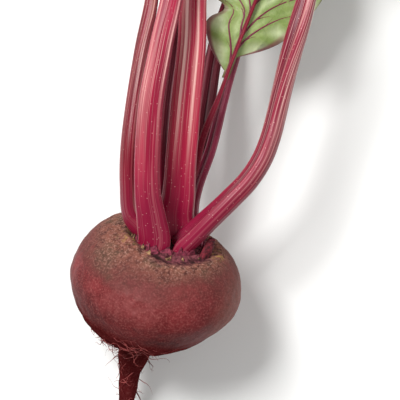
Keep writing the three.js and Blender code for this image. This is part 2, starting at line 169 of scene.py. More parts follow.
def bumps(points, size, seed=0.0):
    """Smooth random relief from -1 to 1, with bumps about size millimetres apart."""
    shift = Vector((seed * 7.13, seed * 3.71, seed * 5.19))
    return np.array([noise.noise(Vector(point) / size + shift) for point in np.asarray(points, float)])


class SeededDraws:
    """The same row of random draws from 0 to 1 in every run."""

    def __init__(self, seed):
        self.state = seed

    def draw(self):
        """The next draw."""
        self.state = (self.state * 16807) % 2147483647
        return self.state / 2147483647

    def between(self, low, high):
        """The next draw, spread from low to high."""
        return low + (high - low) * self.draw()


def to_frame(points):
    """Points of the drawing, in millimetres, as metres in the frame."""
    return (np.asarray(points, float) - REST_SPOT) * MM


# Curves

def spline(points, exponent, per_span=50):
    """A smooth curve through points; exponent 0 is an even Catmull-Rom curve and 0.5 a centripetal one."""
    points = np.asarray(points, float)
    if exponent:
        first = 2 * points[0] - points[1]
        last = 2 * points[-1] - points[-2]
    else:
        first = points[0]
        last = points[-1]
    padded = np.vstack([first, points, last])
    share = np.linspace(0, 1, per_span, endpoint=False)[:, None]
    spans = []
    for i in range(len(points) - 1):
        p0, p1, p2, p3 = padded[i:i + 4]
        if exponent:
            d0, d1, d2 = (np.linalg.norm(b - a) ** exponent for a, b in ((p0, p1), (p1, p2), (p2, p3)))
            leave = ((p1 - p0) / d0 - (p2 - p0) / (d0 + d1) + (p2 - p1) / d1) * d1
            arrive = ((p2 - p1) / d1 - (p3 - p1) / (d1 + d2) + (p3 - p2) / d2) * d1
        else:
            leave = (p2 - p0) / 2
            arrive = (p3 - p1) / 2
        square = -3 * p1 + 3 * p2 - 2 * leave - arrive
        cube = 2 * p1 - 2 * p2 + leave + arrive
        spans.append(p1 + leave * share + square * share ** 2 + cube * share ** 3)
    spans.append(points[-1:])
    return np.vstack(spans)


class Route:
    """A curve that is asked for its points and directions by the share of its length."""

    def __init__(self, points):
        self.curve = spline(points, 0.5)
        steps = np.linalg.norm(np.diff(self.curve, axis=0), axis=1)
        reached = np.concatenate([[0], np.cumsum(steps)])
        self.length = reached[-1]
        self.reached = reached / reached[-1]
        self.direction = unit(np.gradient(self.curve, self.reached, axis=0))

    def along(self, share, table):
        """The rows of a table along the curve, at shares of its length."""
        return np.stack([np.interp(share, self.reached, column) for column in table.T], -1)

    def at(self, share):
        """Centre and direction at shares of the length."""
        return self.along(share, self.curve), unit(self.along(share, self.direction))


# The swollen root's surface

profile = spline(PROFILE, 0)
profile_angle = np.arctan2(profile[:, 1], profile[:, 0])
profile_distance = np.hypot(profile[:, 0], profile[:, 1])


def turned_to_frame(local):
    """Points of the upright root, whose crown looks to +Y, turned to how the plant lies."""
    return local[:, :1] * across + local[:, 1:2] * crown_axis + local[:, 2:3] * facing


def plain_root(direction):
    """The upright root's surface in each direction from its middle, swollen and dented a little."""
    rise = np.arcsin(np.clip(direction[:, 1], -1, 1))
    local = direction * np.interp(rise, profile_angle, profile_distance)[:, None]
    x, y, z = local.T
    angle = np.arctan2(z, x)
    share = np.hypot(x, z) / ROOT_RADIUS
    lobes = 0.7 * np.sin(2 * angle + 0.6) + 0.45 * np.sin(3 * angle - 1.1)
    stretch = 1 + lobes * share / ROOT_RADIUS
    shoulder = 3.4 * np.exp(-((x + 24) ** 2 + (z + 7) ** 2) / 200) * smooth(2, 18, y)
    rise = RIGHT_SIDE_RISE * smooth(-4, 34, x)
    shift = LOWER_SIDE_SHIFT * smooth(6, -14, y) * smooth(-40, 16, x)
    return np.stack([x * stretch - shift, y + shoulder + rise, z * stretch], -1)


def even_directions(count):
    """Directions spread evenly over a sphere."""
    row = np.arange(count) + 0.5
    y = 1 - 2 * row / count
    turn = row * math.pi * (1 + math.sqrt(5))
    ring = np.sqrt(1 - y * y)
    return np.stack([ring * np.cos(turn), y, ring * np.sin(turn)], -1)


CENTRE_HEIGHT = -turned_to_frame(plain_root(even_directions(20000)))[:, 2].min() - REST_DEPTH
root_centre = np.array([0.0, 0.0, CENTRE_HEIGHT])


def on_crown(place, height):
    """A point over a place on the crown, given as (across, facing)."""
    return across * place[0] + crown_axis * height + facing * place[1] + root_centre


# Meshes

def grid_mesh(columns, rows):
    """A flat grid with its UVs, and each vertex's place on it from 0 to 1."""
    bm = bmesh.new()
    bm.loops.layers.uv.new("UVMap")
    bmesh.ops.create_grid(bm, x_segments=columns, y_segments=rows, size=1, calc_uvs=True)
    place = np.array([vert.co[:2] for vert in bm.verts]) / 2 + 0.5
    return bm, place[:, 0], place[:, 1]


def put(bm, points):
    """Moves the vertices to points of the drawing."""
    for vert, point in zip(bm.verts, to_frame(points)):
        vert.co = point


def note(bm, name, values):
    """Writes one number for each vertex, which materials read by name."""
    layer = bm.verts.layers.float.get(name) or bm.verts.layers.float.new(name)
    for vert, value in zip(bm.verts, np.broadcast_to(values, len(bm.verts))):
        vert[layer] = float(value)


# How many faces run round each kind of tube, and along it.
TAP_ROOT_FACES = (40, 200)
ROOTLET_FACES = (8, 14)
HAIR_FACES = (5, 14)
STUB_FACES = (28, 40)
SCALE_FACES = (14, 16)
VEIN_FACES = (8, 26)


def tube_mesh(sides, steps, place, notes=None):
    """A closed tube: a grid rolled up and drawn shut at its ends, as place puts its rows and angles."""
    bm, turn, rows = grid_mesh(sides, steps + 2)
    row = rows * (steps + 2)
    share = np.clip(np.minimum(row, steps + 2 - row), 0, 1)
    along = np.clip((row - 1) / steps, 0, 1)
    angle = 2 * math.pi * turn
    put(bm, place(along, angle, share))
    for name, values in (notes(along, angle) if notes else {}).items():
        note(bm, name, values)
    bmesh.ops.remove_doubles(bm, verts=bm.verts, dist=1e-7)
    bmesh.ops.recalc_face_normals(bm, faces=bm.faces)
    return bm


def around(centre, side, over, angle, half_width, half_height):
    """Points round a centre line, at an angle from its side direction towards the one over it."""
    return (centre + side * (half_width * np.cos(angle))[:, None]
            + over * (half_height * np.sin(angle))[:, None])


def joined(meshes):
    """Several bmeshes in one."""
    whole = bmesh.new()
    for bm in meshes:
        data = bpy.data.meshes.new("joining")
        bm.to_mesh(data)
        bm.free()
        whole.from_mesh(data)
        bpy.data.meshes.remove(data)
    return whole


def finish_piece(name, bm, material, nodes=()):
    """Makes the object, which moves with the plant and may stand for CAD nodes."""
    data = bpy.data.meshes.new(name)
    bm.to_mesh(data)
    bm.free()
    data.shade_smooth()
    data.materials.append(material)
    piece = bpy.data.objects.new(name, data)
    bpy.context.scene.collection.objects.link(piece)
    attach(piece, BODY)
    if nodes:
        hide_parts(*nodes)
    return piece


# Materials

def linear(hex_colour):
    """An sRGB hex colour as linear red, green, blue and alpha."""
    shares = [int(hex_colour[i:i + 2], 16) / 255 for i in (1, 3, 5)]
    return [s / 12.92 if s <= 0.04045 else ((s + 0.055) / 1.055) ** 2.4 for s in shares] + [1.0]


def new_material(name, **shader_values):
    """A material whose shader has these values, with its node tree and shader."""
    material = bpy.data.materials.new(name)
    material.use_nodes = True
    shader = material.node_tree.nodes["Principled BSDF"]
    for socket, value in shader_values.items():
        shader.inputs[socket.replace("_", " ")].default_value = value
    return material, material.node_tree, shader


def feed(tree, node, inputs):
    """Sets a node's inputs to values, or links them to other nodes' outputs."""
    for name, source in inputs.items():
        if isinstance(source, bpy.types.NodeSocket):
            tree.links.new(source, node.inputs[name])
        else:
            node.inputs[name].default_value = source


def add(tree, kind, settings=None, inputs=None):
    """Adds one node with its settings and links."""
    node = tree.nodes.new(kind)
    for name, value in (settings or {}).items():
        setattr(node, name, value)
    feed(tree, node, inputs or {})
    return node


# A colour Mix node's sockets, which share their names with those of its other kinds.
COLOURS = {"data_type": "RGBA"}
FACTOR, FIRST, SECOND, MIXED = 0, 6, 7, 2
# A Map Range node's sockets, in the order in which a row below gives its ends.
ENDS = ("From Min", "From Max", "To Min", "To Max")


def per_mm(size):
    """The texture scale, in patterns a metre, that spaces a pattern size millimetres apart."""
    return 1 / (size * MM)


def beet_skin(settings):
    """Beetroot skin: a thin cork layer over purple flesh, washed after it was pulled up. It gives a soft
    sheen over maroon, and towards the crown a dull, mottled, tan crust round mauve scars."""
    material, tree, shader = new_material("beet_skin", IOR=1.42)
    spot = add(tree, "ShaderNodeTexCoord").outputs["Object"]
    rim, low, scar_and_shade, flake, rim_light, worn_and_highlight = (
        add(tree, "ShaderNodeAttribute", {"attribute_name": name}).outputs["Fac"]
        for name in ("rim", "low", "scar_and_shade", "flake", "rim_light", "worn_and_highlight"))
    blotch, mottle, grain = (
        add(tree, "ShaderNodeTexNoise", None,
            {"Vector": spot, "Scale": per_mm(size), "Detail": detail, "Roughness": rough}).outputs["Fac"]
        for size, detail, rough in ((13, 5.0, 0.6), (2.4, 5.0, 0.65), (0.9, 3.0, 0.65)))
    # The zones round the crown, in millimetres from its axis, with ragged borders.
    ragged = rim
    for pattern, raggedness in ((blotch, 12.0), (mottle, 10.0)):
        ragged = add(tree, "ShaderNodeMath", {"operation": "MULTIPLY_ADD"},
                     {0: pattern, 1: raggedness, 2: ragged}).outputs["Value"]
    share = {}
    for name, source, ends in (
        ("flesh", blotch, (0.34, 0.66, 0.0, 1.0)),
        ("grain", grain, (0.5, 0.7, 0.0, 0.6)),
        ("pit", grain, (0.46, 0.34, 0.0, 0.45)),
        ("crumb", mottle, (0.4, 0.62, 0.0, 1.0)),
        ("grey", blotch, (0.47, 0.38, 0.0, 0.55)),
        ("dusk", ragged, (40.0, 52.0, 0.75, 0.0)),
        ("crust", ragged, (34.0, 45.0, 0.9, 0.0)),
        ("mauve", ragged, (31.0, 35.0, 0.95, 0.0)),
        ("dull", ragged, (36.0, 50.0, 0.85, 0.46)),
        ("sheen", low, (0.0, 0.45, 0.22, 0.0)),
    ):
        share[name] = add(tree, "ShaderNodeMapRange", None,
                          {"Value": source, **dict(zip(ENDS, ends))}).outputs["Result"]
    flesh, crust, mauve = (
        add(tree, "ShaderNodeMix", COLOURS, {FACTOR: factor, FIRST: dark, SECOND: light}).outputs[MIXED]
        for factor, dark, light in (
            (share["flesh"], settings.skin_dark, settings.skin_light),
            (share["crumb"], linear("#4a2a24"), linear("#96604f")),
            (share["crumb"], linear("#36141a"), linear("#7d414b")),
        ))
    for factor, coat in ((share["grey"], "#564838"), (share["grain"], "#cf9e8e")):
        crust = add(tree, "ShaderNodeMix", COLOURS,
                    {FACTOR: factor, FIRST: crust, SECOND: linear(coat)}).outputs[MIXED]
    colour = flesh
    # One coat is rubbed, warty skin, lighter partly as a painted highlight.
    for factor, coat in (
        # The first coat is painted reflected light, a tan glow on the lower right edge.
        (rim_light, linear("#7c4a3c")), (share["pit"], linear("#3d0f10")), (worn_and_highlight, linear("#7c3d3c")),
        # The low coat darkens the skin towards the pole, with painted shade on a lower right patch.
        (share["grain"], linear("#965450")), (low, linear("#340c0d")), (share["dusk"], linear("#54342e")),
        (share["crust"], crust), (flake, linear("#b3904f")), (share["mauve"], mauve),
        # The last coat is dark scars, and painted shade between the stalk feet and in a cavity.
        (scar_and_shade, linear("#1c120e")),
    ):
        colour = add(tree, "ShaderNodeMix", COLOURS,
                     {FACTOR: factor, FIRST: colour, SECOND: coat}).outputs[MIXED]
    rough = add(tree, "ShaderNodeMath", {"operation": "MULTIPLY_ADD"}, {0: grain, 1: 0.16, 2: share["dull"]})
    fine = add(tree, "ShaderNodeBump", None, {"Strength": 0.5, "Distance": 0.12 * MM, "Height": grain})
    coarse = add(tree, "ShaderNodeBump", None,
                 {"Strength": 0.5, "Distance": 0.4 * MM, "Height": mottle, "Normal": fine.outputs["Normal"]})
    feed(tree, shader, {"Base Color": colour, "Specular IOR Level": share["sheen"],
                        "Roughness": rough.outputs["Value"], "Normal": coarse.outputs["Normal"]})
    return material


def stalk_skin(title, tone):
    """The skin of a leaf stalk: tight, waxy and finely ribbed, so it gives long satin highlights, with pale
    strings and specks on a coloured ground. The strings are drawn 0.3 to 1 mm wide."""
    *colours, shine = tone
    main, stripe, shade = (linear(colour) for colour in colours)
    material, tree, shader = new_material(title, Roughness=0.36, IOR=1.45, Specular_IOR_Level=shine)
    place = add(tree, "ShaderNodeUVMap", {"uv_map": "UVMap"}).outputs["UV"]
    spot = add(tree, "ShaderNodeTexCoord").outputs["Object"]
    band, hollow_shade, foot, strung = (add(tree, "ShaderNodeAttribute", {"attribute_name": name}).outputs["Fac"]
                                  for name in ("band", "hollow_shade", "foot", "strung"))
    drawn = []
    for scale, detail in (((74.0, 4.0, 1.0), 2.0), ((23.0, 2.2, 1.0), 2.0), ((7.0, 6.0, 1.0), 3.0)):
        vector = add(tree, "ShaderNodeMapping", None, {"Vector": place, "Scale": scale}).outputs["Vector"]
        noise_inputs = {"Vector": vector, "Scale": 1.0, "Detail": detail}
        drawn.append(add(tree, "ShaderNodeTexNoise", None, noise_inputs).outputs["Fac"])
    string, cord, cloud = drawn
    dot = add(tree, "ShaderNodeTexVoronoi", None, {"Vector": spot, "Scale": per_mm(1.9)}).outputs["Distance"]
    share = {}
    for name, source, ends in (
        ("string", string, (0.56, 0.64, 0.0, 0.7)),
        ("fibre", string, (0.38, 0.5, 0.45, 1.0)),
        ("cord", cord, (0.6, 0.65, 0.0, 0.75)),
        ("cloud", cloud, (0.38, 0.66, 0.0, 0.7)),
        ("dot", dot, (0.07, 0.13, 0.55, 0.0)),
    ):
        share[name] = add(tree, "ShaderNodeMapRange", None,
                          {"Value": source, **dict(zip(ENDS, ends))}).outputs["Result"]
    either = add(tree, "ShaderNodeMath", {"operation": "MAXIMUM"}, {0: share["string"], 1: share["cord"]})
    lines = add(tree, "ShaderNodeMath", {"operation": "MULTIPLY"}, {0: either.outputs["Value"], 1: strung})
    striped = add(tree, "ShaderNodeMath", {"operation": "MULTIPLY_ADD", "use_clamp": True},
                  {0: band, 1: share["fibre"], 2: lines.outputs["Value"]})
    colour = main
    # The darker ground clouds the ground at random, and is painted as shade down the inner side.
    for factor, coat in ((share["cloud"], shade), (hollow_shade, shade), (foot, linear("#820f34")),
                         (striped.outputs["Value"], stripe), (share["dot"], stripe)):
        colour = add(tree, "ShaderNodeMix", COLOURS,
                     {FACTOR: factor, FIRST: colour, SECOND: coat}).outputs[MIXED]
    ribbed = add(tree, "ShaderNodeBump", None, {"Strength": 0.6, "Distance": 0.18 * MM, "Height": string})
    feed(tree, shader, {"Base Color": colour, "Normal": ribbed.outputs["Normal"]})
    return material


def leaf_skin():
    """A beet leaf: thin, turgid and waxy, dark and glossy above, paler and duller below, and puckered
    between its veins. The net of finest veins is drawn about 4 mm wide."""
    material, tree, shader = new_material("leaf_skin", IOR=1.45, Specular_IOR_Level=0.4)
    spot = add(tree, "ShaderNodeTexCoord").outputs["Object"]
    under, pucker, edge = (add(tree, "ShaderNodeAttribute", {"attribute_name": name}).outputs["Fac"]
                           for name in ("under", "pucker", "edge"))
    bend, blotch, crumple = (
        add(tree, "ShaderNodeTexNoise", None,
            {"Vector": spot, "Scale": per_mm(size), "Detail": detail, "Roughness": rough}).outputs
        for size, detail, rough in ((6, 2.0, 0.5), (11, 4.0, 0.5), (5, 3.0, 0.55)))
    bent = add(tree, "ShaderNodeMix", {"data_type": "VECTOR"}, {0: 0.004, 4: spot, 5: bend["Color"]})
    net = add(tree, "ShaderNodeTexVoronoi", {"feature": "DISTANCE_TO_EDGE"},
              {"Vector": bent.outputs[1], "Scale": per_mm(4)}).outputs["Distance"]
    blotch_share, net_share, rough = (
        add(tree, "ShaderNodeMapRange", None, {"Value": source, **dict(zip(ENDS, ends))}).outputs["Result"]
        for source, ends in ((blotch["Fac"], (0.35, 0.7, 0.0, 0.5)), (net, (0.0, 0.09, 0.2, 0.0)),
                             (under, (0.0, 1.0, 0.38, 0.44))))
    # Painted light on the bulges between the veins and painted shade in the grooves along them, on both
    # faces.
    above, below = (
        add(tree, "ShaderNodeMix", COLOURS,
            {FACTOR: pucker, FIRST: linear(dark), SECOND: linear(light)}).outputs[MIXED]
        for dark, light in (("#2c4717", "#4c6b26"), ("#758b49", "#d8e2b8")))
    colour = above
    for factor, coat in ((under, below), (blotch_share, linear("#8c9c58")), (net_share, linear("#a3ad72")),
                         (edge, linear("#7a3548"))):
        colour = add(tree, "ShaderNodeMix", COLOURS,
                     {FACTOR: factor, FIRST: colour, SECOND: coat}).outputs[MIXED]
    normal = None
    for height, strength, depth in ((crumple["Fac"], 0.75, 0.9), (net, 0.5, 0.35)):
        bump = add(tree, "ShaderNodeBump", None,
                   {"Strength": strength, "Distance": depth * MM, "Height": height})
        if normal:
            feed(tree, bump, {"Normal": normal})
        normal = bump.outputs["Normal"]
    feed(tree, shader, {"Base Color": colour, "Roughness": rough, "Normal": normal})
    return material


def dry_tissue(title, dark, light):
    """Dried plant fibre, as on old stalk stumps and crown scales: matt, brittle and streaked."""
    material, tree, shader = new_material(title, Roughness=0.85, IOR=1.4)
    spot = add(tree, "ShaderNodeTexCoord").outputs["Object"]
    streak = add(tree, "ShaderNodeTexNoise", None,
                 {"Vector": spot, "Scale": per_mm(1.6), "Detail": 5.0, "Roughness": 0.7}).outputs["Fac"]
    share = add(tree, "ShaderNodeMapRange", None, {"Value": streak, "From Min": 0.4, "From Max": 0.64})
    colour = add(tree, "ShaderNodeMix", COLOURS,
                 {FACTOR: share.outputs["Result"], FIRST: linear(dark), SECOND: linear(light)})
    rough = add(tree, "ShaderNodeBump", None, {"Strength": 0.7, "Distance": 0.3 * MM, "Height": streak})
    feed(tree, shader, {"Base Color": colour.outputs[MIXED], "Normal": rough.outputs["Normal"]})
    return material


# The swollen root and its tap root

SKIN_BUMP = 0.22
WART_BUMP = 0.45
FLARE_HEIGHT = 6.0
FLARE_RADIUS = 7.5

# Rings round the crown as (distance, width), where crown_distance measures how far out a point lies.
RIM_RING = (25, 3)
GROOVE_RING = (19.5, 2.6)
SCAR_RING = (20, 2.3)

# Marks on the skin: (across, facing) on the crown, and (across, up) on the side that looks up.
# Painted shadow in a cavity left of stalk 1's foot.
HOLLOW_SHADOW_SPOT = (-17.5, 8)
FLAKE_SPOTS = ((-15.7, 10.8), (18.9, 1.5))
# Rubbed, warty skin, with a painted highlight over the same band.
WORN_AND_HIGHLIGHT_BAND = (-7, 4)
# Painted shade, low on the right of the side that looks up.
SHADED_PATCH = (15, -6)


def ring_share(zone, distance, width):
    """A share that is 1 on a ring round the crown and fades to both sides."""
    return np.exp(-((zone - distance) / width) ** 2)


def crown_distance(local):
    """Millimetres from the crown's axis, as its zones of scar and crust follow it: they reach farthest over
    the left shoulder. Below the root's widest ring it is large."""
    x, y, z = local.T
    rim = np.hypot(x, z)
    outer = smooth(22, 32, rim)
    left = 2 * smooth(-4, -12, x) * (1 - outer) - 3.5 * smooth(-8, -26, x) * outer
    right = 4 * smooth(8, 28, x)
    below = 60 * smooth(10, -10, y)
    return rim + left + right + below


def worn_patch(local):
    """The share of rubbed, warty skin, which also holds a painted highlight: a band across the side that
    looks up.
    """
    x, y, z = local.T
    band = np.exp(-((x - WORN_AND_HIGHLIGHT_BAND[0]) / 13) ** 4 - ((y - WORN_AND_HIGHLIGHT_BAND[1]) / 8) ** 4)
    return band * smooth(10, 25, z)


def root_relief(local):
    """Millimetres that the skin stands out: scars, rings and crust round the crown, warts, and a waist."""
    x, y, z = local.T
    rim = np.hypot(x, z)
    zone = crown_distance(local)
    crust = smooth(33, 24, zone) * smooth(3, 10, y)
    rings = np.sin(zone * 1.7 + 3.0 * bumps(local, 9, 2)) * 0.2
    crumbs = bumps(local, 2.3, 3) * 0.42 + bumps(local, 1.1, 4) * 0.26
    scarred = smooth(23, 18, zone) * smooth(8, 18, y)
    wrinkles = (np.abs(bumps(local * (1, 0.6, 1), 3.2, 13)) * 1.6 - 0.3) * scarred
    edge = (0.8 * ring_share(zone, *RIM_RING) - 1.1 * ring_share(zone, *GROOVE_RING)) * smooth(8, 16, y)
    warts = np.maximum(0, bumps(local, 2.8, 5)) * WART_BUMP * (0.25 + worn_patch(local))
    low_rings = np.sin(y * 1.1 + 1.5 * bumps(local, 12, 6)) * 0.12 * smooth(-8, -20, y)
    flare = FLARE_HEIGHT * np.exp(-(rim / FLARE_RADIUS) ** 2) * (y < 0)
    swell = 0.45 * bumps(local, 16, 7)
    fine = SKIN_BUMP * bumps(local, 3.6, 8)
    return crust * (rings + crumbs) + edge + wrinkles + warts + low_rings + flare + swell + fine


def skin_notes(local):
    """The numbers that the skin's colours follow, at points of the upright root."""
    x, y, z = local.T
    zone = crown_distance(local)
    ring = ring_share(zone, *SCAR_RING) * smooth(-0.1, 0.35, bumps(local, 3.4, 9))
    # Painted shade on the crown inside the ring of stalk feet, between and under them.
    inside = smooth(13.5, 10, zone)
    # Painted shadow in a cavity left of stalk 1's foot.
    hollow_shade = 0.75 * np.exp(-((x - HOLLOW_SHADOW_SPOT[0]) ** 2 + (z - HOLLOW_SHADOW_SPOT[1]) ** 2) / 9) * (y > 0)
    flaked = sum(np.exp(-((x - place) ** 2 + (z - depth) ** 2) / 22) for place, depth in FLAKE_SPOTS)
    flakes = flaked * smooth(0.0, 0.3, bumps(local, 1.7, 14)) * (y > 0)
    shade = np.exp(-((x - SHADED_PATCH[0]) / 13) ** 2 - ((y - SHADED_PATCH[1]) / 9) ** 2) * smooth(5, 20, z)
    return {
        "rim": zone,
        # Darker towards the pole, with painted shade over the lower right patch; it also dulls the sheen.
        "low": np.clip(0.76 * smooth(0, -27, y) + 0.15 * shade, 0, 0.9),
        # Dark scars, with painted shade inside the ring of stalk feet and in the cavity.
        "scar_and_shade": np.clip(0.85 * ring + 0.8 * inside + hollow_shade, 0, 0.9),
        "flake": np.clip(flakes, 0, 0.9),
        # Painted reflected light: a tan glow on the lower right edge.
        "rim_light": 0.6 * smooth(24, 37, x) * smooth(-20, -4, y),
        # Rubbed, warty skin that is lighter, partly as a painted highlight.
        "worn_and_highlight": worn_patch(local) * (0.3 + 0.45 * smooth(-0.2, 0.3, bumps(local, 2.2, 15))),
    }


PLAIN_SKIN = {"rim": 60.0, "scar_and_shade": 0.0, "flake": 0.0, "rim_light": 0.0, "worn_and_highlight": 0.0}


class BEET_OT_root(bpy.types.Operator):
    """Builds the swollen root and the tap root, which stand for the CAD root"""
    bl_idname = "beet.root"
    bl_label = "Swollen root and tap root"

    def execute(self, context):
        settings = context.scene.beet_root
        bm = bmesh.new()
        bmesh.ops.create_icosphere(bm, subdivisions=settings.fineness, radius=1)
        direction = unit(np.array([vert.co for vert in bm.verts]))
        local = plain_root(direction)
        points = turned_to_frame(local + direction * root_relief(local)[:, None]) + root_centre
        points[:, 2] = np.maximum(points[:, 2], 0)
        put(bm, points)
        for name, values in skin_notes(local).items():
            note(bm, name, values)
        tap = tube_mesh(*TAP_ROOT_FACES, tap_root_place, lambda along, angle: {**PLAIN_SKIN, "low": 0.66})
        side = [tube_mesh(*ROOTLET_FACES, place, lambda along, angle: {**PLAIN_SKIN, "low": 0.5})
                for place in coarse_rootlets()]
        finish_piece("swollen_root", joined([bm, tap] + side), beet_skin(settings), ["root"])
        return {"FINISHED"}


tap_route = Route([row[:3] for row in TAP_ROOT])
tap_radii = spline([(i, row[3]) for i, row in enumerate(TAP_ROOT)], 0)
SPAN_SHARE = np.linspace(0, 1, len(tap_route.curve))


def tap_root_at(share):
    """Centre, direction and radius of the tap root, at a share of its route's points."""
    centre = np.stack([np.interp(share, SPAN_SHARE, column) for column in tap_route.curve.T], -1)
    direction = np.stack([np.interp(share, SPAN_SHARE, column) for column in tap_route.direction.T], -1)
    radius = np.interp(share, np.linspace(0, 1, len(tap_radii)), tap_radii[:, 1])
    return centre, unit(direction), radius


def beside_and_over(direction):
    """Two directions square to a lying root's own, the second of them upwards."""
    side = unit(np.cross(np.array([0.0, 0.0, 1.0]), direction))
    return side, np.cross(direction, side)


def tap_root_place(along, angle, share):
    """A knotty taper with lengthwise wrinkles."""
    centre, direction, radius = tap_root_at(along)
    side, over = beside_and_over(direction)
    knots = 1 + 0.07 * np.sin(3 * angle + 9 * along) + 0.05 * np.sin(31 * along)
    place = around(centre, side, over, angle, 4, 4)
    wrinkles = 0.06 * bumps(place * (1, 0.25, 1), 2.2, 11) + 0.07 * bumps(place, 5, 12)
    out = share * np.maximum(0.35, radius * (knots + wrinkles))
    return around(centre, side, over, angle, out, out)


def rootlet_place(start, direction, length, bend, radius, wiggle=0.0, sunk=1.6):
    """A side rootlet that bends as it runs out, and may wander."""
    side = unit(np.cross(direction, bend))
    up = np.cross(direction, side)

    def place(along, angle, share):
        thin = share * radius * (1.25 - along)
        wander = wiggle * length * along * np.sin(9 * along + start[0])
        stray = wiggle * length * along * np.cos(7 * along + start[1])
        straight = np.outer(along * (length + sunk) - sunk, direction)
        centre = start + straight + np.outer(along ** 2 * length / 2, bend)
        centre = centre + np.outer(wander, side) + np.outer(stray, up)
        points = around(centre, side, up, angle, thin, thin)
        points[:, 2] = np.maximum(points[:, 2], 0.1)
        return points

    return place


def coarse_rootlets():
    """The side rootlets that the CAD root has, by the same rule."""
    draws = SeededDraws(ROOTLET_SEED)
    found = []
    for i in range(ROOTLET_COUNT):
        along = 0.42 + 0.45 * (i / ROOTLET_COUNT) + 0.03 * draws.draw()
        turn = math.pi * (i % 2) + (draws.draw() - 0.5) * 1.6
        centre, direction, radius = (value[0] for value in tap_root_at(np.array([along])))
        side, over = beside_and_over(direction)
        out = unit(side * math.cos(turn) + over * 0.7 * abs(math.sin(turn)) + 0.9 * direction)
        start = centre + out * radius * 0.85
        found.append(rootlet_place(start, out, 4 + 6 * draws.draw(), direction, ROOTLET_RADIUS))
    return found


# Fine rootlets and hairs

class BEET_OT_rootlets(bpy.types.Operator):
    """Builds the thin rootlets on the tap root, round the pole and on the skin"""
    bl_idname = "beet.rootlets"
    bl_label = "Fine rootlets"

    def execute(self, context):
        settings = context.scene.beet_root
        draws = SeededDraws(71)
        tubes = []
        for _ in range(settings.rootlets):
            along = 0.13 + 0.72 * draws.draw() ** 2
            turn = draws.between(0, 2 * math.pi)
            centre, direction, root_radius = (value[0] for value in tap_root_at(np.array([along])))
            side, over = beside_and_over(direction)
            out = side * math.cos(turn) + over * math.sin(turn)
            start = centre + out * root_radius * 0.95
            loose = draws.draw() ** 3
            heading = draws.between(-0.4, 1) * direction + draws.between(-1, 1) * np.cross(direction, out)
            heading = unit(heading + loose * out)
            length = draws.between(2, 9)
            bend = direction * draws.between(-0.5, 1) + over * draws.between(-1, 1)
            bend = unit(bend - 0.6 * (1 - loose) * out)
            radius = draws.between(0.08, 0.24)
            wiggle = draws.between(0.05, 0.25)
            place = rootlet_place(start, heading, length, bend, radius, wiggle, sunk=0.6)
            tubes.append(tube_mesh(*HAIR_FACES, place))
        for i in range(settings.skin_hairs):
            curly = i % 5 == 0
            angle = math.radians(draws.between(58, 125) if curly else draws.between(105, 205))
            rise = math.radians(draws.between(-50, -26) if curly else draws.between(-78, -46))
            direction = np.array([[math.cos(rise) * math.cos(angle), math.sin(rise),
                                   math.cos(rise) * math.sin(angle)]])
            point = (turned_to_frame(plain_root(direction)) + root_centre)[0]
            out = unit(turned_to_frame(direction))[0]
            stray = unit(np.array([draws.between(-1, 1), draws.between(-1, 0.3), draws.between(-1, 1)]))
            loose = 0.1 if curly else draws.draw() ** 1.5
            heading = unit(stray - np.dot(stray, out) * out + (0.15 + 0.9 * loose) * out)
            length = draws.between(4, 10) if curly else draws.between(1, 4.5)
            bend = unit(stray - np.dot(stray, out) * out - 0.3 * out)
            radius = draws.between(0.1, 0.28)
            wiggle = draws.between(0.08, 0.22)
            place = rootlet_place(point, heading, length, bend, radius, wiggle, sunk=0.5)
            tubes.append(tube_mesh(*HAIR_FACES, place))
        bark = dry_tissue("rootlet_bark", "#561317", "#a8504c")
        finish_piece("fine_rootlets", joined(tubes), bark)
        return {"FINISHED"}


# Leaf stalks

RIB_COUNT = 15
RIB_RELIEF = 0.16
MIDRIB_WIDTH = 1.3
# An exponent that sets the rows of a stalk's mesh closer together at its foot.
FOOT_CROWDING = 1.2


def stalk_size(leaf, blade_start, along):
    """Width, thickness and channel depth of a stalk: a wide foot, an even length, and a thin midrib."""
    width, thickness = leaf["stalk"]
    foot = 1 - smooth(0, 0.13, along)
    thinning = 1 - 0.22 * smooth(0.1, blade_start, along)
    rib = smooth(blade_start * 0.9, 1, along) ** 0.7
    neck = 1 - 0.45 * smooth(blade_start * 0.75, blade_start * 1.05, along)
    wide = width * (thinning * neck + 0.3 * foot)
    thick = thickness * (thinning + 0.08 * foot)
    return (wide + (MIDRIB_WIDTH - wide) * rib, thick + (MIDRIB_WIDTH - thick) * rib,
            0.24 * (1 - smooth(blade_start * 0.8, blade_start, along)))


class LeafSpine:
    """Where a leaf's stalk and midrib run, and which way they face."""

    def __init__(self, leaf):
        self.leaf = leaf
        base = np.array(leaf["base"], float)
        points = [on_crown(base, CROWN_HEIGHT - EMBED), on_crown(base * 1.04, CROWN_HEIGHT + 2.5)]
        self.route = Route(np.vstack([points, leaf["route"]]))
        self.blade_start = 1 - leaf["blade"][0] / self.route.length

    def at(self, along):
        """Centre, direction, side and normal at shares of the length."""
        centre, direction = self.route.at(along)
        turned = smooth(self.blade_start * 0.45, self.blade_start, along)[:, None]
        inner = unit(np.array(self.leaf["inner"], float))
        blade_up = unit(np.array(self.leaf["blade_up"], float))
        side = unit(np.cross(inner * (1 - turned) + blade_up * turned, direction))
        normal = np.cross(direction, side)
        thickness = stalk_size(self.leaf, self.blade_start, along)[1]
        centre[:, 2] = np.maximum(centre[:, 2], thickness / 2)
        return centre, direction, side, normal


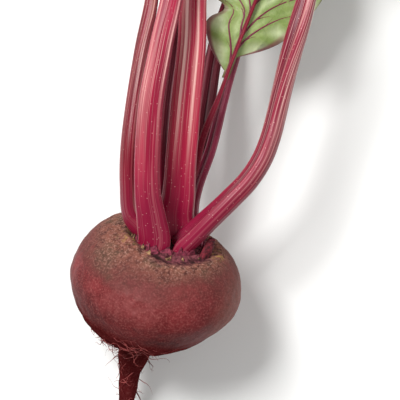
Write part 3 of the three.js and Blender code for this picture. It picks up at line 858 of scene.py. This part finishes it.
def stalk_mesh(leaf, spine, sides, steps):
    """A ribbed stalk with a channel along its inner side, and the numbers that its colours follow."""

    def place(along, angle, share):
        along = along ** FOOT_CROWDING
        centre, _, side, normal = spine.at(along)
        width, thickness, channel = stalk_size(leaf, spine.blade_start, along)
        foot = 1 - smooth(0.02, 0.12, along)
        stiff = smooth(1.2, 4.5, width)
        ribs = RIB_RELIEF * (0.5 + 0.5 * np.cos(RIB_COUNT * angle)) * stiff * (1 - 0.6 * foot)
        x = (width / 2 - ribs) * np.cos(angle)
        inside = np.maximum(0, np.sin(angle))
        sunk = channel * thickness * inside * np.exp(-(x / (0.24 * width)) ** 2)
        y = (thickness / 2 - ribs) * np.sin(angle) - sunk
        points = centre + side * (x * share)[:, None] + normal * (y * share)[:, None]
        return points + side * (0.25 * stiff * bumps(centre, 24, leaf["wave"][2]))[:, None]

    def notes(along, angle):
        along = along ** FOOT_CROWDING
        seed = leaf["wave"][2] * 10 + 3
        ring = np.stack([2.1 * np.cos(angle), 2.1 * np.sin(angle), along * 3.2 + seed], -1)
        inside = np.sin(angle) > 0
        grown = smooth(0.06, 0.5, along)
        broad = min(1, leaf["stalk"][0] / 10)
        band = smooth(0.2, 0.4, bumps(ring, 1.0, seed)) * 0.52 * grown * broad
        # Painted shade down the middle of the inner side, along the channel, fading out towards the blade.
        hollow_shade = smooth(0.5, 0.0, np.abs(np.cos(angle))) * inside
        hollow_shade = hollow_shade * (1 - smooth(spine.blade_start * 0.7, spine.blade_start, along))
        crest = np.exp(-((np.abs(np.cos(angle)) - 0.42) / 0.1) ** 2) * inside * smooth(0.1, 0.25, along)
        outer_edge = np.abs(np.cos(angle)) if leaf["tone"] != "pale" else np.cos(angle)
        lip = smooth(0.975, 1.0, outer_edge) * (1 - smooth(0.06, 0.15, along))
        channelled = leaf["tone"] == "channel"
        band = np.clip(band * (1 - hollow_shade) + 0.75 * crest * channelled + 0.6 * lip, 0, 1)
        strung = (0.12 + 0.88 * grown) * broad
        return {"band": band, "hollow_shade": (0.3 if channelled else 0.7) * hollow_shade, "strung": strung,
                "foot": 0.8 * (1 - smooth(0.05, 0.2, along))}

    return tube_mesh(sides, steps, place, notes)


# The stalks' tones: ground, strings, and a darker ground that clouds the ground at random and is painted as
# shade down the inner side, and how much they shine.
STALK_TONES = {
    "crimson": ("#7d0a24", "#cb998e", "#520716", 0.38),
    "rosy": ("#9c1438", "#e2b0a9", "#700a26", 0.38),
    "channel": ("#ab173b", "#e3b3aa", "#8c0f2e", 0.38),
    "pale": ("#8a0f30", "#e6bbb2", "#580922", 0.38),
    "purple": ("#961540", "#c08492", "#62102e", 0.38),
    "deep": ("#7a0a26", "#a35a62", "#4a0817", 0.16),
    "dark": ("#560a1c", "#7e3441", "#2c040d", 0.16),
}
VEIN_TONE = ("#73203c", "#a05468", "#4c1128", 0.38)


class BEET_OT_stalks(bpy.types.Operator):
    """Builds the ribbed leaf stalks with their midribs"""
    bl_idname = "beet.stalks"
    bl_label = "Leaf stalks"

    def execute(self, context):
        settings = context.scene.beet_leaves
        skins = {name: stalk_skin(f"stalk_skin_{name}", tone) for name, tone in STALK_TONES.items()}
        for name, leaf in LEAVES.items():
            bm = stalk_mesh(leaf, LeafSpine(leaf), settings.stalk_sides, settings.stalk_steps)
            finish_piece(f"stalk_{name}", bm, skins[leaf["tone"]], [f"petiole_{name}"])
        return {"FINISHED"}


# Leaf blades

SHEET_THICKNESS = 0.6
BAY_WIDTH = 0.055
CREASE_SPACING = 13
CREASE_DEPTH = 0.4

def blade_half_width(leaf, share, reach):
    """Half of the blade's width: widest below the middle, with a wedge at the stalk."""
    delay = np.where(reach > 0, *leaf["delay"])
    own = np.clip((share - delay) / (1 - delay), 0, 1)
    outline = np.maximum(0, np.sin(math.pi * own ** 0.8)) ** 1.1
    lobes = 1 + 0.06 * np.sin(17 * share + leaf["wave"][2] + np.where(reach > 0, 0, 2.3))
    bay_place, bay_depth = leaf.get("bay", (0, 0))
    bay = bay_depth * np.exp(-((share - bay_place) / BAY_WIDTH) ** 2)
    drawn_in = np.where(reach > 0, 1, 1 - bay)
    return np.maximum(1.6, leaf["blade"][1] / 2 * outline * lobes * drawn_in)


def lateral_veins(leaf):
    """The side veins as curves on the blade: (share, reach) points from the midrib towards the edge."""
    draws = SeededDraws(int(leaf["blade"][0] * 10 + leaf["blade"][1]))
    veins = []
    for i, root in enumerate((0.02, 0.13, 0.25, 0.38, 0.52, 0.66, 0.79)):
        for hand in (-1, 1):
            start = root + draws.between(0, 0.04) + (0.03 if hand > 0 else 0)
            rise = min(draws.between(0.27, 0.37), 0.9 * (0.98 - start))
            points = [(start, 0), (start + 0.34 * rise, 0.2 * hand), (start + 0.68 * rise, 0.5 * hand),
                      (start + 0.9 * rise, 0.76 * hand), (start + rise, 0.93 * hand)]
            veins.append((points, 0.62 - 0.045 * i))
            inner_fork = [(start + 0.6 * rise, 0.42 * hand), (start + 0.9 * rise, 0.54 * hand),
                          (start + 1.05 * rise, 0.74 * hand)]
            outer_fork = [(start + 0.3 * rise, 0.17 * hand), (start + 0.42 * rise, 0.42 * hand),
                          (start + draws.between(0.4, 0.5) * rise, 0.85 * hand)]
            veins += [(inner_fork, 0.34), (outer_fork, 0.38)]
    return veins


def blade_points(leaf, spine, share, reach, veins):
    """Points and normals of the blade's middle surface, puckered between its veins."""
    along = spine.blade_start + (1 - spine.blade_start) * share
    centre, direction, side, normal = spine.at(along)
    half = blade_half_width(leaf, share, reach)
    x = reach * half
    height, count, phase = leaf["wave"]
    edge = np.abs(reach) ** 1.8 * smooth(0, 0.2, share)
    turn = 2 * math.pi * count * share + phase + np.where(reach > 0, 0, 1.9)
    ruffle = 0.7 * np.abs(reach) ** 6 * np.sin(5.3 * turn) * smooth(0.05, 0.2, share)
    wave = height * edge * np.sin(turn) + ruffle
    sag = -np.sign(normal[:, 2]) * 0.16 * np.abs(x) * np.abs(reach) * smooth(3, 15, half)
    rib = stalk_size(leaf, spine.blade_start, along)[1] / 2
    lift = rib + RIB_GAP + BLADE_THICKNESS / 2 + wave + sag
    points = centre + side * x[:, None] + normal * lift[:, None]
    points = points - direction * (0.08 * np.abs(x) * (1 - share))[:, None]
    pucker = pucker_height(leaf, share, reach, half, veins)
    crease = np.exp(-(bumps(points, CREASE_SPACING, 33) / 0.1) ** 2) * smooth(3, 12, half)
    points = points + normal * (pucker * 1.1 - CREASE_DEPTH * crease)[:, None]
    points[:, 2] = np.maximum(points[:, 2], BLADE_THICKNESS / 2)
    return points, normal, pucker


def pucker_height(leaf, share, reach, half, veins):
    """How far the blade bulges between its veins, from 0 on a vein to about 1."""
    length = leaf["blade"][0]
    nearest = np.abs(reach) * half
    for points, _ in veins:
        for along, aside in spline(points, 0, 8):
            nearest = np.minimum(nearest, np.hypot((share - along) * length, (reach - aside) * half))
    return smooth(0.2, 5.5, nearest) * smooth(1.6, 9, half)


def blade_mesh(leaf, spine, veins, columns, rows):
    """A thin shell over the blade's surface. Its two sheets are split first, and then put in place."""
    bm, across_share, along_share = grid_mesh(columns, rows)
    reach = 1 - 2 * across_share
    middle, normal, pucker = blade_points(leaf, spine, along_share, reach, veins)
    source = bm.verts.layers.int.new("source")
    for i, vert in enumerate(bm.verts):
        vert[source] = i
    count = len(bm.verts)
    put(bm, middle)
    bmesh.ops.solidify(bm, geom=bm.verts[:] + bm.edges[:] + bm.faces[:], thickness=0.5 * MM)
    bm.verts.ensure_lookup_table()
    origin = np.array([vert[source] for vert in bm.verts])
    under = (np.arange(len(bm.verts)) >= count).astype(float)
    put(bm, middle[origin] + normal[origin] * (SHEET_THICKNESS * (0.5 - under))[:, None])
    note(bm, "under", under)
    # The colours paint light on the bulges and shade along the veins by this share.
    note(bm, "pucker", (pucker * (0.75 + 0.35 * bumps(middle, 7, 20)))[origin])
    rim = 0.5 * smooth(0.97, 1.0, np.abs(reach))
    wedge = 0.9 * smooth(0.8, 0.92, np.abs(reach)) * smooth(0.42, 0.15, along_share)
    note(bm, "edge", np.maximum(rim, wedge)[origin])
    bmesh.ops.recalc_face_normals(bm, faces=bm.faces)
    return bm


VEIN_NOTES = {"band": 0.1, "hollow_shade": 0.0, "foot": 0.0, "strung": 0.3}


def vein_mesh(leaf, spine, veins):
    """The midrib's upper line and the side veins, as thin ridges that show on both faces."""
    meshes = []
    midrib = ([(0.0, 0.0), (0.35, 0.0), (0.7, 0.0), (0.99, 0.0)], 1.1)
    for points, radius in [midrib] + veins:
        curve = spline(points, 0, 12)
        middle, normal, _ = blade_points(leaf, spine, curve[:, 0], curve[:, 1], veins)
        route = Route(middle)

        def place(along, angle, share, route=route, radius=radius, normal=normal):
            centre, direction = route.at(along)
            up = unit(route.along(along, np.repeat(normal, 50, axis=0)[:len(route.curve)]))
            side = unit(np.cross(direction, up))
            out = share * radius * (1.05 - 0.62 * along)
            return around(centre, side, up, angle, out, out)

        meshes.append(tube_mesh(*VEIN_FACES, place, lambda along, angle: VEIN_NOTES))
    return joined(meshes)


class BEET_OT_blades(bpy.types.Operator):
    """Builds the waved leaf blades and their veins"""
    bl_idname = "beet.blades"
    bl_label = "Leaf blades"

    def execute(self, context):
        settings = context.scene.beet_leaves
        skin = leaf_skin()
        vein_skin = stalk_skin("vein_skin", VEIN_TONE)
        for name, leaf in LEAVES.items():
            spine = LeafSpine(leaf)
            veins = lateral_veins(leaf)
            bm = blade_mesh(leaf, spine, veins, settings.blade_columns, settings.blade_rows)
            finish_piece(f"leaf_blade_{name}", bm, skin, [f"blade_{name}"])
            finish_piece(f"leaf_veins_{name}", vein_mesh(leaf, spine, veins), vein_skin)
        return {"FINISHED"}


# The crown's stumps and dried scales

def stub_mesh(stub):
    """A stump that narrows unevenly and leans out, with a torn top."""
    base = np.array(stub["base"], float)
    bottom = on_crown(base, CROWN_HEIGHT - EMBED)
    out = unit(across * base[0] + facing * base[1])
    beside = np.cross(out, crown_axis)

    def place(along, angle, share):
        taper = 1 - 0.55 * along + 0.12 * np.sin(2 * angle + 5 * along)
        ring = np.stack([np.cos(angle) * 3, np.sin(angle) * 3, along * 5], -1)
        half = stub["width"] / 2 * (taper + 0.1 * bumps(ring, 1.1, 31))
        torn = 1.2 * smooth(0.9, 1, along) * np.abs(bumps(ring, 0.8, 32))
        height = along * (stub["length"] + EMBED) - torn
        centre = bottom + np.outer(height, crown_axis) + np.outer(stub["lean"] * along ** 2, out)
        return around(centre, beside, out, angle, share * half, share * half * 0.6)

    return tube_mesh(*STUB_FACES, place)


def scale_mesh(turn, radius, height, width, lean, seed):
    """A dried leaf-base scale: a thin tongue that stands at the crown's edge."""
    radial = across * math.cos(turn) + facing * math.sin(turn)
    beside = np.cross(radial, crown_axis)

    def place(along, angle, share):
        half = width / 2 * (1 - along ** 2) + 0.1
        thick = 0.45 * (1 - 0.7 * along) + 0.1
        ring = np.stack([np.cos(angle) * 2, np.sin(angle), along * 4 + seed], -1)
        ragged = 1 + 0.3 * bumps(ring, 0.7, seed)
        bottom = on_crown((radius * math.cos(turn), radius * math.sin(turn)), CROWN_HEIGHT - 2.5)
        leant = np.outer(lean * along ** 1.6 * ragged, radial)
        centre = bottom + np.outer(along * (height + 3), crown_axis) + leant
        return around(centre, beside, radial, angle, share * half * ragged, share * thick)

    return tube_mesh(*SCALE_FACES, place)


FEET_REACH = 13.5
# The feet of stalks 1 and 2 reach farther out: how far, which way round the crown, and how broadly.
FAR_FOOT = (4.5, 2.27, 0.6)


def foot_reach(turn):
    """How far from the crown's axis the stalk feet reach, in a direction round it."""
    farther, middle, breadth = FAR_FOOT
    return FEET_REACH + farther * math.exp(-((turn - middle) / breadth) ** 2)


class BEET_OT_crown(bpy.types.Operator):
    """Builds the old stumps, and the living and dried scales round the leaf bases"""
    bl_idname = "beet.crown"
    bl_label = "Crown stumps and scales"

    def execute(self, context):
        settings = context.scene.beet_root
        stump = dry_tissue("dried_stump", "#380b13", "#822734")
        for name, stub in STUBS.items():
            finish_piece(f"old_{name}", stub_mesh(stub), stump, [name])
        draws = SeededDraws(29)
        tongues = []
        scales = []
        for i in range(settings.scales):
            turn = 2 * math.pi * (i + draws.between(-0.4, 0.4)) / settings.scales
            reach = foot_reach(turn)
            tongues.append(scale_mesh(
                turn, reach + draws.between(0.3, 1.6), height=draws.between(1.5, 4.5),
                width=draws.between(3, 7), lean=draws.between(-2.2, 0.2), seed=i * 1.7))
            scales.append(scale_mesh(
                turn + draws.between(-0.2, 0.2), reach + draws.between(2, 5), height=draws.between(0.1, 1.7),
                width=draws.between(1, 4), lean=draws.between(-1, 2), seed=i * 2.3))
        living = dry_tissue("crown_tissue", "#4a1020", "#8a3549")
        dried = dry_tissue("crown_scale", "#2a1a14", "#a8835c")
        finish_piece("crown_tongues", joined(tongues), living)
        finish_piece("crown_scales", joined(scales), dried)
        return {"FINISHED"}


# Floor, lights and camera

VIEW_CENTRE = (20.25, 39.6)
VIEW_PLANE = 37.0
SENSOR_WIDTH = 36
# Where the lights look, in metres in the frame, and the fill light's share of the key light's power.
LIGHTS_LOOK_AT = (0, 0.04, 0.03)
FILL_SHARE = 0.22


class BEET_OT_stage(bpy.types.Operator):
    """Builds the pale floor, the soft lights and a camera that looks straight down"""
    bl_idname = "beet.stage"
    bl_label = "Floor, lights and camera"

    def execute(self, context):
        settings = context.scene.beet_stage
        bm = bmesh.new()
        bmesh.ops.create_grid(bm, x_segments=2, y_segments=2, size=3)
        data = bpy.data.meshes.new("floor")
        bm.to_mesh(data)
        bm.free()
        material, _, _ = new_material("pale_floor", Base_Color=linear("#f4f4f2"), Roughness=0.9)
        data.materials.append(material)
        floor = bpy.data.objects.new("floor", data)
        context.scene.collection.objects.link(floor)
        world = bpy.data.worlds.new("soft_room")
        world.use_nodes = True
        background = world.node_tree.nodes["Background"]
        background.inputs["Color"].default_value = linear("#ffffff")
        background.inputs["Strength"].default_value = settings.room_light
        context.scene.world = world
        for name, place, size, power in (
            ("key_light", (-0.45, 0.5, 1.0), 0.4, settings.key_power),
            ("fill_light", (0.75, 0.1, 0.9), 0.8, settings.key_power * FILL_SHARE),
        ):
            lamp = bpy.data.lights.new(name, "AREA")
            lamp.energy = power
            lamp.size = size
            light = bpy.data.objects.new(name, lamp)
            light.location = place
            look = Vector(LIGHTS_LOOK_AT) - light.location
            light.rotation_euler = look.to_track_quat("-Z", "Y").to_euler()
            context.scene.collection.objects.link(light)
        camera_data = bpy.data.cameras.new("camera")
        camera_data.sensor_width = SENSOR_WIDTH
        camera_data.lens = SENSOR_WIDTH * settings.camera_height / settings.field
        camera = bpy.data.objects.new("camera", camera_data)
        centre = to_frame((*VIEW_CENTRE, VIEW_PLANE))
        camera.location = (centre[0], centre[1], centre[2] + settings.camera_height)
        context.scene.collection.objects.link(camera)
        context.scene.camera = camera
        context.scene.view_settings.view_transform = "Standard"
        return {"FINISHED"}


# Settings and the sidebar

class RootSettings(bpy.types.PropertyGroup):
    """Sizes and colours of the root."""
    fineness: IntProperty(name="Fineness", description="Subdivisions of the root", default=7, min=4, max=7)
    rootlets: IntProperty(name="Rootlets", description="Thin rootlets on the tap root", default=110, min=0)
    skin_hairs: IntProperty(name="Skin hairs", description="Hairs round the lower pole", default=130, min=0)
    scales: IntProperty(name="Scales", description="Scales of each kind at the crown", default=30, min=3)
    skin_dark: FloatVectorProperty(name="Dark skin", description="The darker of the skin's two maroons",
                                   subtype="COLOR", size=4, min=0, max=1, default=linear("#561618"))
    skin_light: FloatVectorProperty(name="Light skin", description="The lighter of the skin's two maroons",
                                    subtype="COLOR", size=4, min=0, max=1, default=linear("#762a2c"))


class LeafSettings(bpy.types.PropertyGroup):
    """How finely the leaves are made."""
    stalk_sides: IntProperty(name="Stalk sides", description="Faces round a stalk", default=75, min=12)
    stalk_steps: IntProperty(name="Stalk steps", description="Faces along a stalk", default=150, min=24)
    blade_columns: IntProperty(name="Blade columns", description="Faces across a blade", default=60, min=8)
    blade_rows: IntProperty(name="Blade rows", description="Faces along a blade", default=104, min=15)


class StageSettings(bpy.types.PropertyGroup):
    """The camera and the light."""
    camera_height: FloatProperty(name="Camera height", description="From the camera to the root's middle",
                                 unit="LENGTH", default=1.0, min=0.3)
    field: FloatProperty(name="Field", description="Width of what the camera sees at the root's middle",
                         unit="LENGTH", default=0.18, min=0.05)
    key_power: FloatProperty(name="Key light", description="Power of the stronger light", unit="POWER",
                             default=17.0)
    room_light: FloatProperty(name="Room light", description="Strength of the light all round", default=0.3)


OPERATORS = (BEET_OT_root, BEET_OT_rootlets, BEET_OT_crown, BEET_OT_stalks, BEET_OT_blades, BEET_OT_stage)


class BEET_PT_panel(bpy.types.Panel):
    """Lists the steps that build the beetroot"""
    bl_idname = "BEET_PT_panel"
    bl_label = "Beetroot"
    bl_space_type = "VIEW_3D"
    bl_region_type = "UI"
    bl_category = "Beetroot"

    def draw(self, context):
        for operator in OPERATORS:
            self.layout.operator(operator.bl_idname)


SETTINGS = {"beet_root": RootSettings, "beet_leaves": LeafSettings, "beet_stage": StageSettings}


def register():
    for cls in (*SETTINGS.values(), *OPERATORS, BEET_PT_panel):
        bpy.utils.register_class(cls)
    for name, cls in SETTINGS.items():
        setattr(bpy.types.Scene, name, PointerProperty(type=cls))


def unregister():
    for name in SETTINGS:
        delattr(bpy.types.Scene, name)
    for cls in reversed((*SETTINGS.values(), *OPERATORS, BEET_PT_panel)):
        bpy.utils.unregister_class(cls)


def main():
    register()
    bpy.ops.beet.stage()
    bpy.ops.beet.root()
    bpy.ops.beet.rootlets()
    bpy.ops.beet.crown()
    bpy.ops.beet.stalks()
    bpy.ops.beet.blades()
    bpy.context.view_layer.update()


if __name__ == "__main__":
    main()
